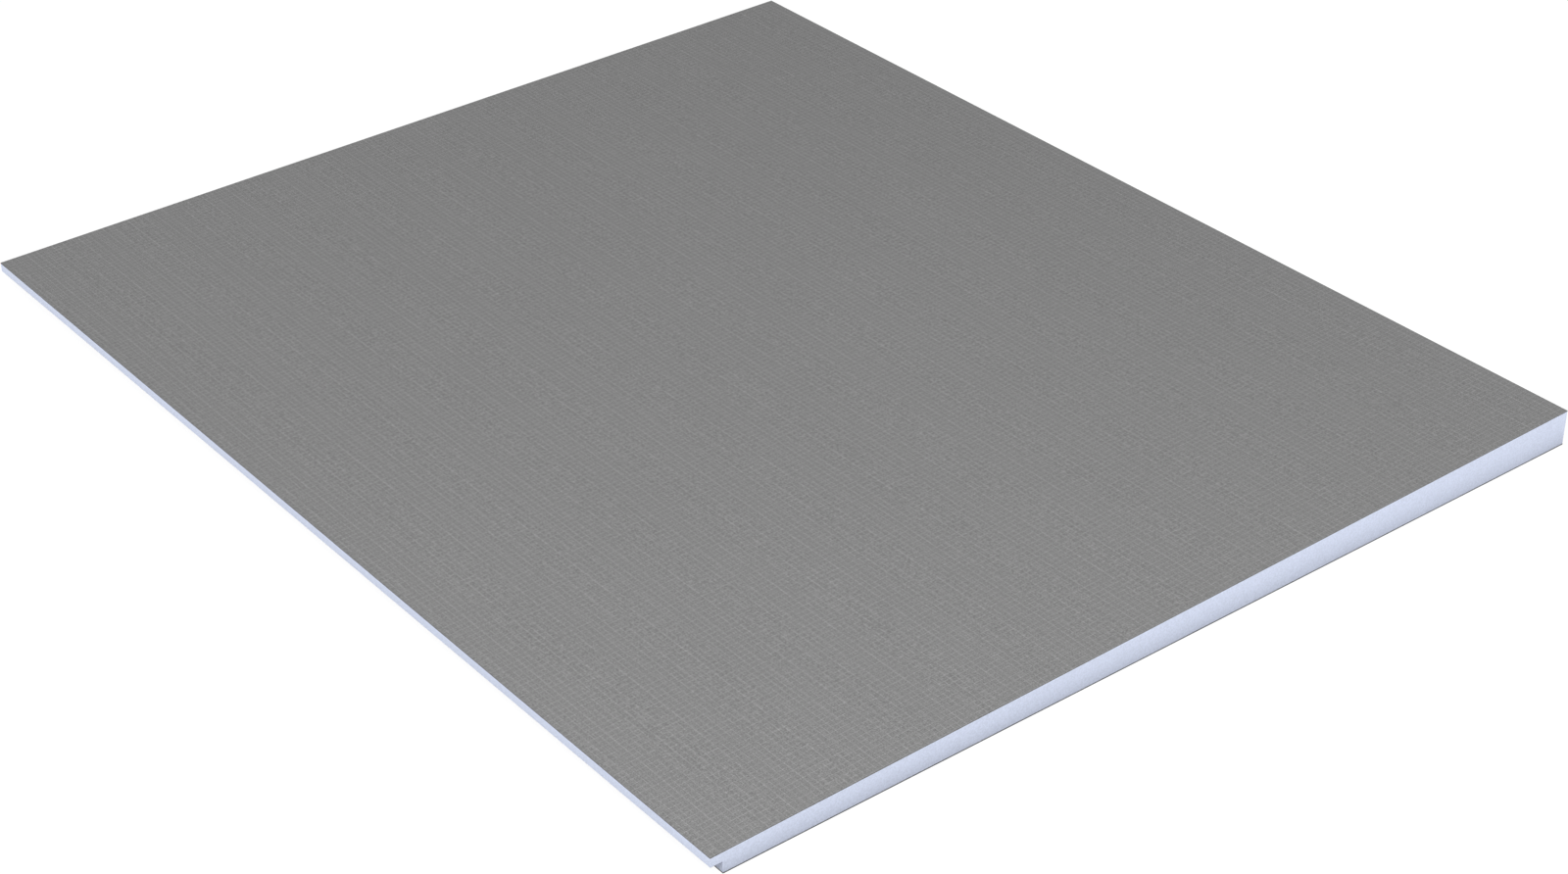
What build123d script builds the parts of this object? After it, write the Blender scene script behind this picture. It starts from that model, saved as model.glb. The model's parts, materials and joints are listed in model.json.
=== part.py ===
from build123d import *
import os

# Shower sloping board: a wedge of rigid foam between two mesh-reinforced cement coats.
# The top face falls one way, from the high edge to the drain edge. A rebate under the
# drain edge leaves a lip, which laps over the flange of a channel drain.
#
# Millimetres, +Z up. The origin is the middle of the footprint, on the floor. +X runs up
# the fall, from the drain edge to the high edge, and +Y runs along the drain edge.

# Driving dimensions
fall_length = 1000.0  # level distance from the drain edge to the high edge
board_width = 1200.0  # length of the drain edge
drain_edge_height = 21.5  # floor to top face at the drain edge
high_edge_height = 37.0  # floor to top face at the high edge
top_coat = 1.0  # cement coat on the top face, measured plumb
bottom_coat = 1.0  # cement coat on the underside
lip_height = 10.0  # top face to the underside of the lip, at the drain edge
rebate_depth = 12.0  # how far the rebate reaches in under the lip

# Places that follow from them
drain_edge_x = -fall_length / 2
high_edge_x = fall_length / 2
rebate_wall_x = drain_edge_x + rebate_depth
lip_underside_z = drain_edge_height - lip_height
core_drain_edge_z = drain_edge_height - top_coat
core_high_edge_z = high_edge_height - top_coat


# Foam core: the wedge between the coats, then the rebate milled out of its drain edge
with BuildPart() as foam_core:
    with BuildSketch(Plane.XZ):
        with BuildLine():
            Polyline(
                (drain_edge_x, bottom_coat),
                (high_edge_x, bottom_coat),
                (high_edge_x, core_high_edge_z),
                (drain_edge_x, core_drain_edge_z),
                close=True,
            )
        make_face()
    extrude(amount=board_width / 2, both=True)

    with BuildSketch(Plane.XZ):
        with Locations((drain_edge_x, bottom_coat)):
            Rectangle(
                rebate_depth,
                lip_underside_z - bottom_coat,
                align=(Align.MIN, Align.MIN),
            )
    extrude(amount=board_width / 2, both=True, mode=Mode.SUBTRACT)
foam_core.part.label = "foam_core"

# Top coat: an even layer on the sloping face, out to all four edges and over the lip
with BuildPart() as top_coating:
    with BuildSketch(Plane.XZ):
        with BuildLine():
            Polyline(
                (drain_edge_x, core_drain_edge_z),
                (high_edge_x, core_high_edge_z),
                (high_edge_x, high_edge_height),
                (drain_edge_x, drain_edge_height),
                close=True,
            )
        make_face()
    extrude(amount=board_width / 2, both=True)
top_coating.part.label = "top_coating"

# Bottom coat: an even layer on the underside, which stops at the wall of the rebate
with BuildPart() as bottom_coating:
    with BuildSketch(Plane.XY):
        with Locations((rebate_wall_x, 0)):
            Rectangle(
                fall_length - rebate_depth,
                board_width,
                align=(Align.MIN, Align.CENTER),
            )
    extrude(amount=bottom_coat)
bottom_coating.part.label = "bottom_coating"

os.makedirs("parts", exist_ok=True)
for piece in (foam_core, top_coating, bottom_coating):
    export_step(piece.part, f"parts/{piece.part.label}.step")
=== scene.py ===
"""Dresses the shower sloping board: a sawn foam wedge between two mesh-reinforced cement coats.

Everything is in metres, in the frame of the solid model: the origin is the middle of the footprint on the
floor, +X runs up the fall from the drain edge to the high edge, and +Y runs along the drain edge.
"""

import json
import logging
import math
from abc import ABC, abstractmethod
from dataclasses import dataclass
from enum import Enum
from functools import cached_property
from typing import Any, ClassVar

import bpy
import numpy as np
from mathutils import Matrix, Vector


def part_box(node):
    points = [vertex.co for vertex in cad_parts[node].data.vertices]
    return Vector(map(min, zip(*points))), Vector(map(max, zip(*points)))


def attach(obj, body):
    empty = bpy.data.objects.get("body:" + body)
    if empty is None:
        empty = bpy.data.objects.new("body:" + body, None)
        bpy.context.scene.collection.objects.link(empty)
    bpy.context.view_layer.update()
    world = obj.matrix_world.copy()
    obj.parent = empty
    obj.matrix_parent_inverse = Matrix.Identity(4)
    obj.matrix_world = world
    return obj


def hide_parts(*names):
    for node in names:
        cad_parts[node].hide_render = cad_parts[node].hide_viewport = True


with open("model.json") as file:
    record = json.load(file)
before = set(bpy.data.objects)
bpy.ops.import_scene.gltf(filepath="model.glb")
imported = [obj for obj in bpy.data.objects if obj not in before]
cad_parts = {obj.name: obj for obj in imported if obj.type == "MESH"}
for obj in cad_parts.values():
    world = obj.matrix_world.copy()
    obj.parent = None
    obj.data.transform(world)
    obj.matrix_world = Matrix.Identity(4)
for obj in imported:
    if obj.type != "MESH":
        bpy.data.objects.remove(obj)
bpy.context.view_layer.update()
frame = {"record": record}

log = logging.getLogger("sloping_board")

MM = 0.001  # one millimetre, in metres
MICRON = 0.001 * MM

Colour = tuple[float, float, float]
Point = tuple[float, float, float]
Span = tuple[float, float]
Socket = bpy.types.NodeSocket
Feed = float | Colour | Socket

WHITE: Colour = (1.0, 1.0, 1.0)
NOISE_SWING: Span = (-0.2, 0.2)  # where most of the centred noise lies
STEADY = 1.0  # metres, a swell so long that a pattern hardly changes along it


class CoatSide(Enum):
    """The face of the foam that a coat is on. Its value is the way that the coat's outer face looks."""

    TOP = 1
    BOTTOM = -1


class Ripple(Enum):
    """Length and direction, in degrees from +X, of the slow waves that a spread coat is left with."""

    LONG = (310 * MM, 25.0)
    MIDDLE = (190 * MM, 80.0)
    SHORT = (127 * MM, 140.0)


def shell_mesh(name: str, points: np.ndarray, quads: np.ndarray, triangles: np.ndarray) -> bpy.types.Mesh:
    """Puts a shell of quads and triangles into a mesh.

    Args:
        name: Name of the mesh.
        points: Corners, one row of x, y and z each.
        quads: Corner numbers of the four-sided faces, one row each, counter-clockwise seen from outside.
        triangles: Corner numbers of the three-sided faces, in the same order.

    Returns:
        The mesh, with its edges worked out.
    """
    sizes = np.concatenate([np.full(len(quads), 4), np.full(len(triangles), 3)])
    corners = np.concatenate([quads.ravel(), triangles.ravel()])
    mesh = bpy.data.meshes.new(name)
    mesh.vertices.add(len(points))
    mesh.vertices.foreach_set("co", points.astype(np.float32).ravel())
    mesh.loops.add(len(corners))
    mesh.loops.foreach_set("vertex_index", corners.astype(np.int32))
    mesh.polygons.add(len(sizes))
    mesh.polygons.foreach_set("loop_start", (np.cumsum(sizes) - sizes).astype(np.int32))
    mesh.update(calc_edges=True)
    mesh.validate()
    return mesh


def grid_quads(numbers: np.ndarray) -> np.ndarray:
    """Faces of a grid of corner numbers, each from its low corner along the first direction, then round."""
    low, high = numbers[:-1], numbers[1:]
    return np.stack([low[:, :-1], high[:, :-1], high[:, 1:], low[:, 1:]], -1).reshape(-1, 4)


def ring_quads(inner: np.ndarray, outer: np.ndarray) -> np.ndarray:
    """Faces between two closed rings of as many corners, from each stretch of the inner ring outwards."""
    return np.stack([inner, outer, np.roll(outer, -1), np.roll(inner, -1)], -1)


@dataclass(frozen=True)
class BoardSection:
    """The board's section across the drain edge, with the sizes that its pieces share."""

    drain_edge: float
    high_edge: float
    half_width: float
    rebate_wall: float
    lip_underside: float
    bottom_coat: float
    top_coat: float
    core_at_drain: float
    core_at_high: float

    @classmethod
    def from_frame(cls, record: dict[str, Any]) -> "BoardSection":
        """Reads the sizes off the solids and the record.

        Args:
            record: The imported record, whose lip seat gives the height of the rebate.

        Returns:
            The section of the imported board.
        """
        foam_low, foam_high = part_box("foam_core")
        top_low, top_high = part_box("top_coating")
        under_low, under_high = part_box("bottom_coating")
        lip_seat = next(mount for mount in record["mounts"] if mount["name"] == "drain_lip_seat")
        return cls(
            drain_edge=foam_low.x,
            high_edge=foam_high.x,
            half_width=foam_high.y,
            rebate_wall=under_low.x,
            lip_underside=lip_seat["pos_m"][2],
            bottom_coat=under_high.z,
            top_coat=top_high.z - foam_high.z,
            core_at_drain=top_low.z,
            core_at_high=foam_high.z,
        )

    def core_top(self, x: np.ndarray) -> np.ndarray:
        """Height of the foam's upper face: a straight line from the drain edge to the high edge."""
        return np.interp(x, (self.drain_edge, self.high_edge), (self.core_at_drain, self.core_at_high))

    def coat_start(self, side: CoatSide) -> float:
        """Place along X where a coat starts: the drain edge, or the rebate's wall under the board."""
        return self.drain_edge if side is CoatSide.TOP else self.rebate_wall

    def coat_inside(self, side: CoatSide, x: np.ndarray) -> np.ndarray:
        """Height of the face that a coat turns to the foam."""
        return self.core_top(x) if side is CoatSide.TOP else np.full_like(x, self.bottom_coat)

    def coat_outside(self, side: CoatSide, x: np.ndarray) -> np.ndarray:
        """Height of the face that a coat turns outwards."""
        return self.core_top(x) + self.top_coat if side is CoatSide.TOP else np.zeros_like(x)


@dataclass(frozen=True)
class GlassMesh:
    """The woven glass mesh in a coat. Wefts run along the drain edge, and warps run up the fall."""

    weft_pitch: float = 5.76 * MM
    warp_pitch: float = 5.992 * MM
    first_weft: float = 4.65 * MM  # from the drain edge
    first_warp: float = 0.6 * MM  # from the near end
    cell_depth: float = 0.10 * MM  # how far the cement sinks between the yarns, at most
    shallow: float = 0.5  # share of that depth where it sinks least
    swell_along_x: float = 83 * MM  # length of the slow swell in that depth
    swell_along_y: float = 67 * MM

    def wefts(self, drain_edge: float, start: float, stop: float) -> np.ndarray:
        """Places the wefts, evenly spaced from the first one.

        Args:
            drain_edge: The drain edge's place along X.
            start: The lowest place that is wanted.
            stop: The highest one.

        Returns:
            Places along X of the wefts between start and stop.
        """
        first = drain_edge + self.first_weft
        number = np.arange(math.ceil((start - first) / self.weft_pitch), (stop - first) / self.weft_pitch)
        return first + number * self.weft_pitch

    def warps(self, half_width: float, margin: float) -> np.ndarray:
        """Places the warps, evenly spaced from the first one.

        Args:
            half_width: Half the board's width.
            margin: The room that is kept free at both ends.

        Returns:
            Places along Y of the warps between the margins.
        """
        first = self.first_warp - half_width
        line = first + np.arange(2 * half_width / self.warp_pitch) * self.warp_pitch
        return line[np.abs(line) < half_width - margin]

    def sunk(self, x: np.ndarray, y: np.ndarray) -> np.ndarray:
        """Depth of the cells' middles: from shallow to whole, as the product of two sines swells."""
        swell = np.sin(2 * np.pi * x / self.swell_along_x) * np.sin(2 * np.pi * y / self.swell_along_y)
        return self.cell_depth * np.interp(swell, (-1, 1), (self.shallow, 1))


class NodeGraph:
    """A node tree, with short calls for the nodes that the finishes and the studio use."""

    def __init__(self, tree: bpy.types.NodeTree) -> None:
        """Empties the tree and keeps it."""
        self.tree = tree
        tree.nodes.clear()

    def add(self, kind: str, feeds: dict[str | int, Feed], **settings: Any) -> bpy.types.Node:
        """Adds a node.

        Args:
            kind: Blender's name of the node's type, without the leading ShaderNode.
            feeds: What goes into its inputs, by the input's name or number: a value, a colour or a socket.
            **settings: Its other settings.

        Returns:
            The node.
        """
        node = self.tree.nodes.new("ShaderNode" + kind)
        for setting, value in settings.items():
            setattr(node, setting, value)
        for key, feed in feeds.items():
            if isinstance(feed, bpy.types.NodeSocket):
                self.tree.links.new(feed, node.inputs[key])
            elif node.inputs[key].type == "RGBA":
                node.inputs[key].default_value = (*feed, 1.0)
            else:
                node.inputs[key].default_value = feed
        return node

    def math(self, operation: str, first: Feed, second: Feed = 0.0, third: Feed = 0.0) -> Socket:
        """Adds a sum on numbers and returns its result."""
        return self.add("Math", {0: first, 1: second, 2: third}, operation=operation).outputs[0]

    def total(self, start: Feed, *terms: tuple[Feed, float]) -> Socket:
        """Adds up a start and some terms.

        Args:
            start: The value that the terms are added to.
            *terms: A value and its weight each.

        Returns:
            The start plus each value times its weight.
        """
        result = start
        for value, weight in terms:
            result = self.math("MULTIPLY_ADD", value, weight, result)
        return result

    def highest(self, first: Feed, *others: Feed) -> Socket:
        """Picks the highest of several values.

        Args:
            first: One value.
            *others: The rest.

        Returns:
            The highest of them.
        """
        result = first
        for value in others:
            result = self.math("MAXIMUM", result, value)
        return result

    def span(self, value: Feed, over: Span, to: Span, smooth: bool = True) -> Socket:
        """Maps a span of a value to another, held at its ends, and returns the result.

        Args:
            value: The value.
            over: Its span.
            to: The span that it is mapped to.
            smooth: Whether the result eases in and out at the ends.

        Returns:
            The mapped value.
        """
        feeds = {"Value": value, "From Min": over[0], "From Max": over[1], "To Min": to[0], "To Max": to[1]}
        kind = "SMOOTHSTEP" if smooth else "LINEAR"
        return self.add("MapRange", feeds, interpolation_type=kind).outputs[0]

    def place(self) -> Socket:
        """Returns the place on the object, in metres in the board's frame."""
        return self.add("TexCoord", {}).outputs["Object"]

    def axes(self, place: Socket) -> tuple[Socket, Socket, Socket]:
        """Returns the X, Y and Z of a place."""
        split = self.add("SeparateXYZ", {0: place})
        return split.outputs[0], split.outputs[1], split.outputs[2]

    def noise(self, place: Socket, size: Point, detail: float = 1.0) -> Socket:
        """Adds smooth noise and returns it, from about -0.3 to 0.3.

        Args:
            place: Where the noise is read.
            size: Length of one swell along X, Y and Z.
            detail: Finer octaves on top of it.

        Returns:
            The noise, about nought on average.
        """
        scale = tuple(1 / length for length in size)
        spread = self.add("VectorMath", {0: place, 1: scale}, operation="MULTIPLY").outputs[0]
        made = self.add("TexNoise", {"Vector": spread, "Scale": 1.0, "Detail": detail}).outputs[0]
        average = 0.5  # of the node's own noise
        return self.math("SUBTRACT", made, average)

    def line(self, along: Feed, first: float, pitch: float, half_width: float) -> Socket:
        """Adds evenly spaced lines: 1 on a line, easing to 0 at half its width, and returns them."""
        gap = self.math("PINGPONG", self.math("SUBTRACT", along, first), pitch / 2)
        return self.span(gap, (0.0, half_width), (1.0, 0.0))

    def tinted(self, colour: Colour, strength: Socket) -> Socket:
        """Returns a colour times a strength."""
        return self.add("VectorMath", {0: colour, "Scale": strength}, operation="SCALE").outputs[0]

    def seen(self) -> Socket:
        """Returns 1 for what is seen, directly or in a reflection, and 0 for light that only bounces."""
        path = self.add("LightPath", {}).outputs
        return self.highest(path["Is Camera Ray"], path["Is Glossy Ray"], path["Is Transmission Ray"])

    def surface(self, colour: Feed, roughness: Feed, specular: float, height: Socket) -> None:
        """Adds the shader and the output.

        Args:
            colour: Base colour.
            roughness: Roughness.
            specular: Strength of the clear reflection.
            height: Height of the fine relief, in millimetres.
        """
        bump = self.add("Bump", {"Height": height, "Distance": MM, "Strength": 1.0})
        feeds = {"Base Color": colour, "Roughness": roughness, "Specular IOR Level": specular}
        shader = self.add("BsdfPrincipled", feeds | {"Normal": bump.outputs[0]})
        self.add("OutputMaterial", {"Surface": shader.outputs[0]})


@dataclass(frozen=True)
class Finish(ABC):
    """A finish, with the material that it is mixed into."""

    name: str

    @abstractmethod
    def mix(self, graph: NodeGraph) -> None:
        """Fills the material's node tree."""

    @cached_property
    def material(self) -> bpy.types.Material:
        """Makes the material when it is first asked for, and keeps it for the other pieces of this finish.

        Returns:
            The material.
        """
        made = bpy.data.materials.new(self.name)
        made.use_nodes = True
        self.mix(NodeGraph(made.node_tree))
        return made


@dataclass(frozen=True)
class CementFinish(Finish):
    """Matt grey polymer cement, with the glass mesh showing through as paler lines."""

    section: BoardSection
    weave: GlassMesh
    grey: Colour = (0.2085, 0.2085, 0.2085)
    weft_line: float = 0.30  # how much paler the cement is over a weft
    warp_line: float = 0.31  # and over a warp
    rib_line: float = 0.085  # over the ribs that the spreading roller leaves, beside the wefts
    rib_swell: float = 0.02  # and round every other rib again, easing off to the next
    yarn_half_width: float = 0.5 * MM
    rib_half_width: float = 1.3 * MM
    rib_pitch: float = 9.6 * MM
    first_rib: float = 9.05 * MM  # from the drain edge
    yarn_stray: float = 0.6 * MM  # sideways, where the noise is 1
    stray_run: Point = (45 * MM, 45 * MM, STEADY)
    weft_fade_run: Point = (4 * MM, 12 * MM, STEADY)
    warp_fade_run: Point = (10 * MM, 4 * MM, STEADY)
    fade: Span = (0.65, 1.35)  # the lines' faintest and strongest stretches
    grain: float = 1.15  # how much the sand in it varies the colour
    grain_size: Point = (1.15 * MM, 1.15 * MM, 1.15 * MM)
    mottle: float = 0.05  # and the slow change of the mix
    mottle_size: Point = (90 * MM, 120 * MM, 90 * MM)
    painted_side_shade: float = 0.72  # painted shade: how much darker the sawn sides are painted than the face
    upward: Span = (0.3, 0.9)  # a normal's upright share at which the painted shade of a side ends, and a face starts
    roughness: Span = (0.94, 0.86)  # where the grain is lowest, and highest
    specular: float = 0.15
    line_height: float = 0.2  # millimetres, over a line of strength 1
    grain_height: float = 0.08

    def mix(self, graph: NodeGraph) -> None:
        """Mixes lines on the mesh's own pitches, which fade in and out, with grain and slow mottle, and
        paints shade on the sawn sides.

        Args:
            graph: The material's nodes.
        """
        place = graph.place()
        lines = graph.math("ADD", self.wefts(graph, place), self.warps(graph, place))
        grain = graph.noise(place, self.grain_size)
        mottle = graph.noise(place, self.mottle_size, detail=2.0)
        strength = graph.total(1.0, (lines, 1.0), (grain, self.grain), (mottle, self.mottle))
        # painted shade: the sawn sides are darker than the face because they face sideways
        strength = graph.math("MULTIPLY", strength, self.paint_side_shade(graph))
        roughness = graph.span(grain, NOISE_SWING, self.roughness, smooth=False)
        height = graph.total(0.0, (lines, self.line_height), (grain, self.grain_height))
        graph.surface(graph.tinted(self.grey, strength), roughness, self.specular, height)

    def paint_side_shade(self, graph: NodeGraph) -> Socket:
        """Returns 1 on the face and a painted shade on the sawn sides, told apart by how they look."""
        _, _, up = graph.axes(graph.add("NewGeometry", {}).outputs["True Normal"])
        return graph.span(graph.math("ABSOLUTE", up), self.upward, (self.painted_side_shade, 1.0))

    def stray(self, graph: NodeGraph, place: Socket) -> Socket:
        """Returns how far the yarns have strayed sideways at a place, swinging slowly about nought."""
        return graph.math("MULTIPLY", graph.noise(place, self.stray_run), self.yarn_stray)

    def faded(self, graph: NodeGraph, lines: Socket, place: Socket, run: Point) -> Socket:
        """Lets lines fade in and out, in swells of a run's lengths along X, Y and Z, and returns them."""
        strength = graph.span(graph.noise(place, run), NOISE_SWING, self.fade)
        return graph.math("MULTIPLY", lines, strength)

    def wefts(self, graph: NodeGraph, place: Socket) -> Socket:
        """Draws the lines along the drain edge: wefts, the roller's ribs, and a swell at every other rib.

        Args:
            graph: The material's nodes.
            place: The place on the coat.

        Returns:
            How much paler the cement is.
        """
        edge = self.section.drain_edge
        x = graph.math("ADD", graph.axes(place)[0], self.stray(graph, place))
        yarn = graph.line(x, edge + self.weave.first_weft, self.weave.weft_pitch, self.yarn_half_width)
        rib = graph.line(x, edge + self.first_rib, self.rib_pitch, self.rib_half_width)
        swell = graph.line(x, edge + self.first_rib, 2 * self.rib_pitch, self.rib_pitch)
        paler = graph.total(0.0, (yarn, self.weft_line), (rib, self.rib_line), (swell, self.rib_swell))
        return self.faded(graph, paler, place, self.weft_fade_run)

    def warps(self, graph: NodeGraph, place: Socket) -> Socket:
        """Draws the lines up the fall.

        Args:
            graph: The material's nodes.
            place: The place on the coat.

        Returns:
            How much paler the cement is.
        """
        first = self.weave.first_warp - self.section.half_width
        y = graph.math("ADD", graph.axes(place)[1], self.stray(graph, place))
        yarn = graph.line(y, first, self.weave.warp_pitch, self.yarn_half_width)
        paler = graph.math("MULTIPLY", yarn, self.warp_line)
        return self.faded(graph, paler, place, self.warp_fade_run)


@dataclass(frozen=True)
class FoamFinish(Finish):
    """Pale blue closed-cell foam, as the saw leaves it."""

    blue: Colour = (0.666, 0.720, 0.873)
    cell: float = 0.36  # how much the open cells vary the colour
    cell_size: Point = (1.4 * MM, 1.4 * MM, 1.4 * MM)
    blotch: float = 0.05  # and the denser foam that was cut here and there
    blotch_size: Point = (4 * MM, 4 * MM, 4 * MM)
    slow: float = 0.03  # and the slow change along the block
    slow_size: Point = (160 * MM, 160 * MM, 50 * MM)
    saw: float = 0.03  # and the upright marks of the saw
    saw_size: Point = (1.8 * MM, 1.8 * MM, 50 * MM)
    roughness: Span = (0.9, 0.7)  # in the open cells, and on the walls between them
    specular: float = 0.12
    cell_height: float = 0.05  # millimetres
    saw_height: float = 0.02

    def mix(self, graph: NodeGraph) -> None:
        """Mixes open cells, blotches where denser foam was cut, a slow change, and faint marks of the saw.

        Args:
            graph: The material's nodes.
        """
        place = graph.place()
        cells = graph.noise(place, self.cell_size, detail=2.0)
        saw = graph.noise(place, self.saw_size)
        strength = graph.total(
            1.0,
            (cells, self.cell),
            (graph.noise(place, self.blotch_size), self.blotch),
            (graph.noise(place, self.slow_size), self.slow),
            (saw, self.saw),
        )
        roughness = graph.span(cells, NOISE_SWING, self.roughness, smooth=False)
        height = graph.total(0.0, (cells, self.cell_height), (saw, self.saw_height))
        graph.surface(graph.tinted(self.blue, strength), roughness, self.specular, height)


@dataclass(frozen=True)
class FloorFinish(Finish):
    """White studio floor, which shows a faint shadow, is painted dark under the board, and is painted dark
    close to the board for light that bounces off it.
    """

    section: BoardSection
    glow: float = 0.93  # the share of the floor's white that no shadow takes
    lit: float = 0.11  # and the share that it may take
    bounce: float = 0.78  # how white the floor is to light that bounces off it
    shade: float = 0.04  # painted shade: how white it is to that light close to the board, which darkens the board's lower sides
    shade_edge: Span = (15 * MM, 25 * MM)  # where the painted shade passes into the floor's own bounce
    contact_edge: Span = (-0.10 * MM, 0.05 * MM)  # where the painted dark under the board ends

    def mix(self, graph: NodeGraph) -> None:
        """Mixes what is seen of the floor, painted dark under the board, with what bounced light finds,
        painted dark close to the board.

        Args:
            graph: The material's nodes.
        """
        x, y, _ = graph.axes(graph.place())
        beyond_x = graph.math("SUBTRACT", graph.math("ABSOLUTE", x), self.section.high_edge)
        beyond_y = graph.math("SUBTRACT", graph.math("ABSOLUTE", y), self.section.half_width)
        in_rebate = graph.math("SUBTRACT", self.section.rebate_wall, x)
        # painted shade: bounced light finds the floor dark close to the board
        bounce_with_painted_shade = graph.span(graph.highest(beyond_x, beyond_y), self.shade_edge, (self.shade, self.bounce))
        # painted shadow: the floor's white glow is cut off under the board and just past its foot
        clear = graph.highest(beyond_x, beyond_y, in_rebate)
        glow = graph.span(clear, self.contact_edge, (0.0, self.glow), smooth=False)
        bounced = graph.add("BsdfDiffuse", {"Color": graph.tinted(WHITE, bounce_with_painted_shade)})
        white = graph.add("Emission", {"Color": WHITE, "Strength": glow})
        lit = graph.add("BsdfDiffuse", {"Color": (self.lit,) * 3})
        shown = graph.add("AddShader", {0: white.outputs[0], 1: lit.outputs[0]})
        both = graph.add("MixShader", {0: graph.seen(), 1: bounced.outputs[0], 2: shown.outputs[0]})
        graph.add("OutputMaterial", {"Surface": both.outputs[0]})


@dataclass(frozen=True)
class Piece(ABC):
    """One piece of the board, which stands for a solid of the model and has one finish."""

    slot: ClassVar[str]  # the record's material slot
    name: str
    node: str
    section: BoardSection
    finish: Finish

    @abstractmethod
    def mesh(self) -> bpy.types.Mesh:
        """Works out the piece's closed mesh, in its place."""

    def build(self) -> bpy.types.Object:
        """Makes the object that shows the piece in place of its solid.

        Returns:
            The object, at the origin, unturned and unscaled.
        """
        piece = bpy.data.objects.new(self.name, self.mesh())
        bpy.context.scene.collection.objects.link(piece)
        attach(piece, "root")
        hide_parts(self.node)
        return piece

    def dress(self, piece: bpy.types.Object) -> None:
        """Gives the piece its finish."""
        piece.data.materials.append(self.finish.material)


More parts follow.
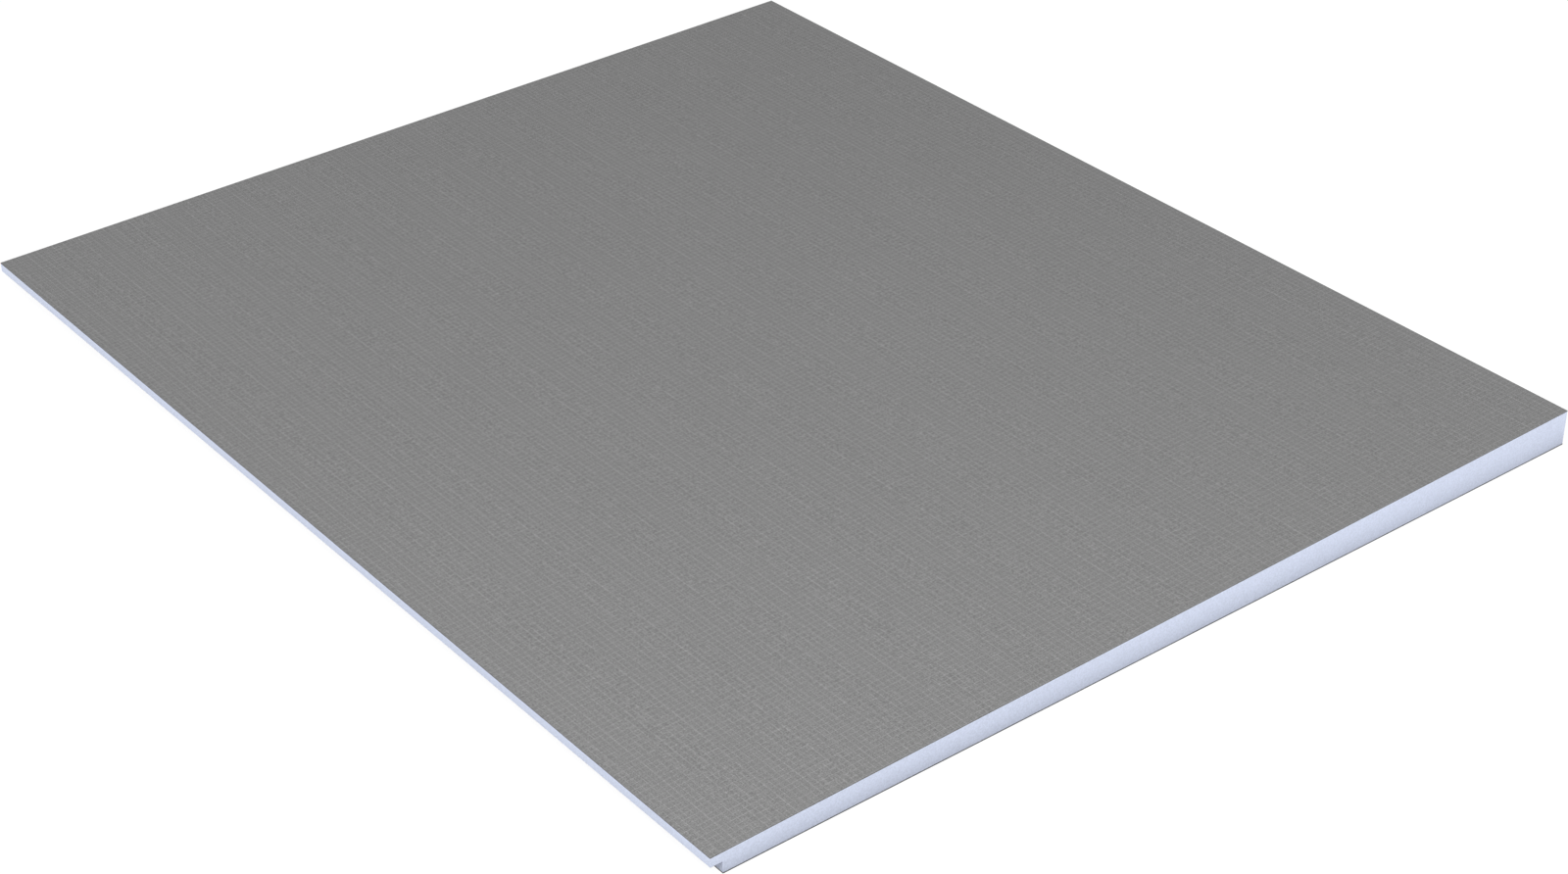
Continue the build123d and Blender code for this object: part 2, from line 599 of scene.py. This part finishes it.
@dataclass(frozen=True)
class CementCoat(Piece):
    """One cement coat: a sheet quilted by its mesh, with a broken arris and sawn sides."""

    slot = "cement_coat"
    side: CoatSide
    weave: GlassMesh
    arris: float = 0.2 * MM  # how far the sawn rim is broken
    margin: float = 0.8 * MM  # the rim stays this clear of the nearest yarn
    ripple: float = 0.015 * MM  # height of each slow wave, up and down
    sharp: float = 30.0  # degrees, past which an edge is sharp

    def columns(self) -> np.ndarray:
        """Places the sheet's crossings up the fall: the wefts, between the two rims.

        Returns:
            Their places along X.
        """
        start = self.section.coat_start(self.side) + self.arris
        stop = self.section.high_edge - self.arris
        line = self.weave.wefts(self.section.drain_edge, start + self.margin, stop - self.margin)
        return np.concatenate([[start], line, [stop]])

    def rows(self) -> np.ndarray:
        """Places the sheet's crossings along the drain edge: the warps, between the two rims.

        Returns:
            Their places along Y.
        """
        rim = self.section.half_width - self.arris
        line = self.weave.warps(self.section.half_width, self.arris + self.margin)
        return np.concatenate([[-rim], line, [rim]])

    def sawn(self, line: np.ndarray) -> np.ndarray:
        """The same crossings with both rims carried out to the sawn edges, by the width of the arris."""
        return np.concatenate([[line[0] - self.arris], line[1:-1], [line[-1] + self.arris]])

    def waves(self, x: np.ndarray, y: np.ndarray) -> np.ndarray:
        """Depth of the slow waves that spreading leaves: a sum of sines across the board.

        Args:
            x: Place up the fall.
            y: Place along the drain edge.

        Returns:
            Depth below the nominal face, never less than nought.
        """
        depth = np.zeros_like(x)
        for wave in Ripple:
            length, turn = wave.value
            along = x * math.cos(math.radians(turn)) + y * math.sin(math.radians(turn))
            depth = depth + self.ripple * (1 - np.sin(2 * np.pi * along / length))
        return depth

    def sheet(self, across: np.ndarray, along: np.ndarray) -> tuple[np.ndarray, np.ndarray, np.ndarray]:
        """Works out the quilted face as a height over two interleaved grids.

        The crossings of the yarns stand at the nominal face, less the slow waves. The middle of each cell
        between them is sunk by the weave's depth there, and four triangles run from the cell's sides to it.

        Args:
            across: Places of the crossings along X.
            along: Places of the crossings along Y.

        Returns:
            The corners, crossings first, then the triangles, then the crossings' numbers on their grid.
        """
        way = self.side.value
        x, y = np.meshgrid(across, along, indexing="ij")
        mid_across, mid_along = (across[:-1] + across[1:]) / 2, (along[:-1] + along[1:]) / 2
        mid_x, mid_y = np.meshgrid(mid_across, mid_along, indexing="ij")
        sunk = self.waves(mid_x, mid_y) + self.weave.sunk(mid_x, mid_y)
        high = self.section.coat_outside(self.side, x) - way * self.waves(x, y)
        low = self.section.coat_outside(self.side, mid_x) - way * sunk
        crossings = np.stack([x, y, high], -1).reshape(-1, 3)
        middles = np.stack([mid_x, mid_y, low], -1).reshape(-1, 3)
        number = np.arange(x.size).reshape(x.shape)
        cell = grid_quads(number)
        middle = np.repeat(x.size + np.arange(len(cell))[:, None], 4, 1)
        facets = np.stack([cell, np.roll(cell, -1, 1), middle], -1).reshape(-1, 3)
        return np.concatenate([crossings, middles]), facets, number

    def mesh(self) -> bpy.types.Mesh:
        """Closes the quilted face with its broken arris, its sawn sides and a plain fan against the foam.

        The face's rim is carried out to the sawn edge, an arris below the deepest wave. From there it drops
        straight to the foam, where triangles from one middle point close it.

        Returns:
            The coat's mesh.
        """
        section, side = self.section, self.side
        across, along = self.columns(), self.rows()
        face, facets, number = self.sheet(across, along)
        rim = np.concatenate([number[:-1, 0], number[-1, :-1], number[:0:-1, -1], number[0, :0:-1]])
        edge_x, edge_y = np.meshgrid(self.sawn(across), self.sawn(along), indexing="ij")
        x, y = edge_x.ravel()[rim], edge_y.ravel()[rim]
        deepest_wave = 2 * self.ripple * len(Ripple)
        below = self.arris + deepest_wave
        shoulder = np.column_stack([x, y, section.coat_outside(side, x) - side.value * below])
        foot = np.column_stack([x, y, section.coat_inside(side, x)])
        middle = np.column_stack([np.zeros((1, 2)), section.coat_inside(side, np.zeros(1))])
        upper = len(face) + np.arange(len(rim))
        lower = upper + len(rim)
        centre = np.full(len(rim), lower[-1] + 1)
        quads = np.concatenate([ring_quads(rim, upper), ring_quads(upper, lower)])
        triangles = np.concatenate([facets, np.stack([lower, centre, np.roll(lower, -1)], -1)])
        if side is CoatSide.BOTTOM:
            quads, triangles = quads[:, ::-1], triangles[:, ::-1]
        mesh = shell_mesh(self.name, np.concatenate([face, shoulder, foot, middle]), quads, triangles)
        mesh.shade_smooth()
        mesh.set_sharp_from_angle(angle=math.radians(self.sharp))
        return mesh


@dataclass(frozen=True)
class FoamCore(Piece):
    """The foam wedge with its milled rebate: sawn sides, and arrises that are rubbed where they are bare."""

    slot = "foam"
    lip_columns: int = 2
    wedge_columns: int = 60
    rebate_rows: int = 3
    lip_rows: int = 4
    stations: int = 73  # along the drain edge
    wander: float = 0.12 * MM  # how far the saw strays into the foam, at most
    wander_long: float = 390 * MM  # length of the long wave
    wander_short: float = 93 * MM  # and of the short one
    wander_height: float = 105 * MM  # height over which the short wave shifts by its length
    long_share: float = 0.6  # of the stray, what the long wave has
    rubbed: float = 0.35 * MM  # width of the rubbed arrises
    rubbed_steps: int = 2

    def face_grid(self) -> tuple[np.ndarray, np.ndarray]:
        """Lays a grid over the section, in two blocks of rows: up to the lip, and from there to the top.

        Returns:
            X and Z at each crossing. The corner of the grid that falls in the rebate isn't part of the foam.
        """
        section = self.section
        lip = np.linspace(section.drain_edge, section.rebate_wall, self.lip_columns + 1)
        wedge = np.linspace(section.rebate_wall, section.high_edge, self.wedge_columns + 1)
        x = np.concatenate([lip, wedge[1:]])[:, None]
        share_below = np.linspace(0, 1, self.rebate_rows + 1)[None, :-1]
        share_above = np.linspace(0, 1, self.lip_rows + 1)[None]
        below = section.bottom_coat + (section.lip_underside - section.bottom_coat) * share_below
        above = section.lip_underside + (section.core_top(x) - section.lip_underside) * share_above
        z = np.concatenate([np.broadcast_to(below, (len(x), self.rebate_rows)), above], 1)
        return np.broadcast_to(x, z.shape), z

    def outline(self, number: np.ndarray) -> np.ndarray:
        """Goes once round the section, counter-clockwise seen from the near end.

        Args:
            number: Corner number at each crossing of the section's grid.

        Returns:
            The corners of the underside, high edge, top, lip face, lip underside and rebate wall, in turn.
        """
        wall, ledge = self.lip_columns, self.rebate_rows
        return np.concatenate([
            number[wall:-1, 0],
            number[-1, :-1],
            number[:0:-1, -1],
            number[0, :ledge:-1],
            number[:wall, ledge],
            number[wall, ledge:0:-1],
        ])

    def block(self) -> tuple[np.ndarray, np.ndarray]:
        """Carries the section's outline along the drain edge, and closes it with a grid at each end.

        Returns:
            The corners on the true planes of the section, and the four-sided faces.
        """
        x, z = self.face_grid()
        column, row = np.indices(x.shape)
        solid = (column >= self.lip_columns) | (row >= self.rebate_rows)
        number = np.where(solid, np.cumsum(solid).reshape(x.shape) - 1, -1)
        face = np.column_stack([x[solid], z[solid]])
        loop = self.outline(number)
        y = np.linspace(-self.section.half_width, self.section.half_width, self.stations)
        between = y[1:-1]
        hoops = np.column_stack([
            np.tile(face[loop, 0], len(between)),
            np.repeat(between, len(loop)),
            np.tile(face[loop, 1], len(between)),
        ])
        points = np.concatenate([np.insert(face, 1, y[0], 1), np.insert(face, 1, y[-1], 1), hoops])
        far = len(face)
        hoop = 2 * far + np.arange(len(hoops)).reshape(len(between), -1)
        rings = np.concatenate([loop[None], hoop, far + loop[None]])
        onward = np.roll(rings, -1, 1)
        sides = np.stack([rings[:-1], rings[1:], onward[1:], onward[:-1]], -1).reshape(-1, 4)
        end = grid_quads(number)
        end = end[(end >= 0).all(1)]
        return points, np.concatenate([sides, end, far + end[:, ::-1]])

    def stray(self, along: np.ndarray, z: np.ndarray) -> np.ndarray:
        """How far into the foam the saw strayed: a long and a short sine along the cut, never outwards.

        Args:
            along: Place along the cut.
            z: Height on the cut, which shifts the short wave.

        Returns:
            Depth below the true plane.
        """
        long = 1 + np.sin(2 * np.pi * along / self.wander_long)
        short = 1 + np.sin(2 * np.pi * (along / self.wander_short + z / self.wander_height))
        return self.wander / 2 * (self.long_share * long + (1 - self.long_share) * short)

    def strayed(self, points: np.ndarray) -> np.ndarray:
        """Moves the sawn faces into the foam by the saw's stray.

        Args:
            points: Corners on the true planes of the section.

        Returns:
            The corners where the saw left them. The faces against the coats keep their heights.
        """
        section = self.section
        x, y, z = points.T
        wall = np.isclose(x, section.rebate_wall) & (z <= section.lip_underside)
        drain = np.isclose(x, section.drain_edge) | wall
        high = np.isclose(x, section.high_edge)
        end = np.isclose(np.abs(y), section.half_width)
        uphill = (drain.astype(float) - high) * self.stray(y, z)
        inward = -np.sign(y) * end * self.stray(x, z)
        return np.column_stack([x + uphill, y + inward, z])

    def bare_arrises(self, points: np.ndarray, edges: np.ndarray) -> np.ndarray:
        """Finds the edges between two bare faces, which handling rubs round.

        Args:
            points: Corners on the true planes of the section.
            edges: Two corner numbers for each edge.

        Returns:
            For each edge, 1 where both its corners lie on the same two bare faces, and 0 elsewhere.
        """
        section = self.section
        x, y, z = points.T
        end = np.isclose(np.abs(y), section.half_width)
        drain = np.isclose(x, section.drain_edge)
        high = np.isclose(x, section.high_edge)
        wall = np.isclose(x, section.rebate_wall) & (z <= section.lip_underside + MICRON)
        under = np.isclose(z, section.lip_underside) & (x <= section.rebate_wall + MICRON)
        corners = np.stack([end & drain, end & high, end & wall, end & under, drain & under])
        return np.any(corners[:, edges[:, 0]] & corners[:, edges[:, 1]], 0).astype(np.float32)

    def mesh(self) -> bpy.types.Mesh:
        """Puts the sawn block into a mesh, and marks its bare arrises for the bevel.

        Returns:
            The foam's mesh.
        """
        points, quads = self.block()
        mesh = shell_mesh(self.name, self.strayed(points), quads, np.empty((0, 3), int))
        mesh.shade_flat()
        edges = np.empty(2 * len(mesh.edges), np.int32)
        mesh.edges.foreach_get("vertices", edges)
        weight = mesh.attributes.new("bevel_weight_edge", "FLOAT", "EDGE")
        weight.data.foreach_set("value", self.bare_arrises(points, edges.reshape(-1, 2)))
        return mesh

    def build(self) -> bpy.types.Object:
        """Makes the foam's object, with a bevel on its bare arrises.

        Returns:
            The object.
        """
        piece = super().build()
        bevel = piece.modifiers.new("rubbed_arrises", "BEVEL")
        bevel.limit_method = "WEIGHT"
        bevel.width = self.rubbed
        bevel.segments = self.rubbed_steps
        return piece


@dataclass(frozen=True)
class SoftLamp:
    """A square soft lamp."""

    name: str
    at: Point
    aim: Point
    size: float  # metres
    power: float  # watts

    def build(self) -> None:
        """Hangs the lamp, out of the camera's sight."""
        lamp = bpy.data.lights.new(self.name, "AREA")
        lamp.shape = "SQUARE"
        lamp.size = self.size
        lamp.energy = self.power
        hung = bpy.data.objects.new(self.name, lamp)
        hung.location = self.at
        hung.rotation_euler = (Vector(self.aim) - Vector(self.at)).to_track_quat("-Z", "Y").to_euler()
        hung.visible_camera = False
        bpy.context.scene.collection.objects.link(hung)


@dataclass(frozen=True)
class Studio:
    """White surroundings: a floor that shows as white and keeps a faint shadow, a dome and five lamps."""

    floor: FloorFinish
    dome: float = 0.71  # strength of the even light from all round
    floor_half: float = 20.0  # metres
    floor_drop: float = 0.2 * MM  # keeps the floor clear of the underside
    floor_ledge: float = 1.0 * MM  # how far the floor reaches in under the bottom coat
    lamps: tuple[SoftLamp, ...] = (
        SoftLamp("key", at=(-1.17, -1.31, 1.6), aim=(0, 0, 0), size=1.2, power=22.0),
        SoftLamp("near_fill", at=(0.6, -1.6, 0.35), aim=(0.3, -0.6, 0), size=0.4, power=2.3),
        SoftLamp("drain_fill", at=(-1.92, 0.88, 0.25), aim=(-0.5, 0.4, 0), size=0.4, power=5.5),
        SoftLamp("far_fill", at=(0.1, 2.2, 0.12), aim=(0.1, 0.6, 0.02), size=0.2, power=4.5),
        SoftLamp("high_fill", at=(2.1, 0.0, 0.12), aim=(0.5, 0.0, 0.02), size=0.2, power=4.5),
    )

    def build(self) -> None:
        """Lays the floor, lights the dome and hangs the lamps."""
        self.lay_floor()
        self.light_dome()
        for lamp in self.lamps:
            lamp.build()
        bpy.context.scene.view_settings.view_transform = "Standard"

    def lay_floor(self) -> None:
        """Lays a flat square floor under the board, open under the bottom coat, which shows from below."""
        section, half, ledge = self.floor.section, self.floor_half, self.floor_ledge
        left, right = section.rebate_wall + ledge, section.high_edge - ledge
        end = section.half_width - ledge
        opening = [[left, -end], [right, -end], [right, end], [left, end]]
        square = [[-half, -half], [half, -half], [half, half], [-half, half]]
        points = np.column_stack([np.array(opening + square), np.full(8, -self.floor_drop)])
        quads = ring_quads(np.arange(4), np.arange(4, 8))
        mesh = shell_mesh("floor", points, quads, np.empty((0, 3), int))
        mesh.materials.append(self.floor.material)
        floor = bpy.data.objects.new("floor", mesh)
        bpy.context.scene.collection.objects.link(floor)

    def light_dome(self) -> None:
        """Surrounds the board with even light, which shows as plain white."""
        world = bpy.data.worlds.new("studio")
        world.use_nodes = True
        graph = NodeGraph(world.node_tree)
        strength = graph.span(graph.seen(), (0.0, 1.0), (self.dome, 1.0), smooth=False)
        back = graph.add("Background", {"Color": WHITE, "Strength": strength})
        graph.add("OutputWorld", {"Surface": back.outputs[0]})
        bpy.context.scene.world = world


@dataclass(frozen=True)
class Viewpoint:
    """The camera, at the photograph's viewing angle."""

    at: Point = (-1.5471, -2.0232, 1.4986)
    azimuth: float = -38.6345  # degrees, from looking along +Y
    elevation: float = 31.9613
    roll: float = 0.032
    focal_length: float = 3074.48  # in pixels of the picture
    picture_width: float = 1600.0
    centre_across: float = 820.0  # pixel column that the lens points at
    sensor: float = 36.0  # millimetres

    def build(self) -> None:
        """Sets up the camera and makes it the scene's own."""
        camera = bpy.data.cameras.new("camera")
        camera.sensor_width = self.sensor
        camera.lens = self.sensor * self.focal_length / self.picture_width
        camera.shift_x = 0.5 - self.centre_across / self.picture_width
        stand = bpy.data.objects.new("camera", camera)
        turn = Matrix.Rotation(math.radians(self.azimuth), 4, "Z")
        tilt = Matrix.Rotation(math.radians(90 - self.elevation), 4, "X")
        lean = Matrix.Rotation(math.radians(self.roll), 4, "Z")
        stand.matrix_world = Matrix.Translation(self.at) @ turn @ tilt @ lean
        bpy.context.scene.collection.objects.link(stand)
        bpy.context.scene.camera = stand


def triangle_count(piece: bpy.types.Object) -> int:
    """Counts a piece's triangles, with its modifiers.

    Args:
        piece: The piece.

    Returns:
        How many triangles it has as it is shown.
    """
    shown = piece.evaluated_get(bpy.context.evaluated_depsgraph_get()).data
    shown.calc_loop_triangles()
    return len(shown.loop_triangles)


def main() -> None:
    """Builds and dresses the pieces, sets up the studio and the camera, and reports each piece."""
    logging.basicConfig(level=logging.INFO, format="%(name)s: %(message)s")
    section = BoardSection.from_frame(frame["record"])
    weave = GlassMesh()
    cement = CementFinish("meshed_cement", section, weave)
    foam = FoamFinish("sawn_foam")
    top = CementCoat("top_coat", "top_coating", section, cement, CoatSide.TOP, weave)
    bottom = CementCoat(
        "bottom_coat",
        "bottom_coating",
        section,
        cement,
        CoatSide.BOTTOM,
        weave,
        arris=0.06 * MM,  # cast on a flat bed, so its edges and face are truer
        ripple=0.005 * MM,
    )
    wedge = FoamCore("foam_wedge", "foam_core", section, foam)
    for piece in (top, bottom, wedge):
        made = piece.build()
        piece.dress(made)
        log.info("%s: %d triangles", made.name, triangle_count(made))
    Studio(FloorFinish("studio_floor", section)).build()
    Viewpoint().build()


if __name__ == "__main__":
    main()
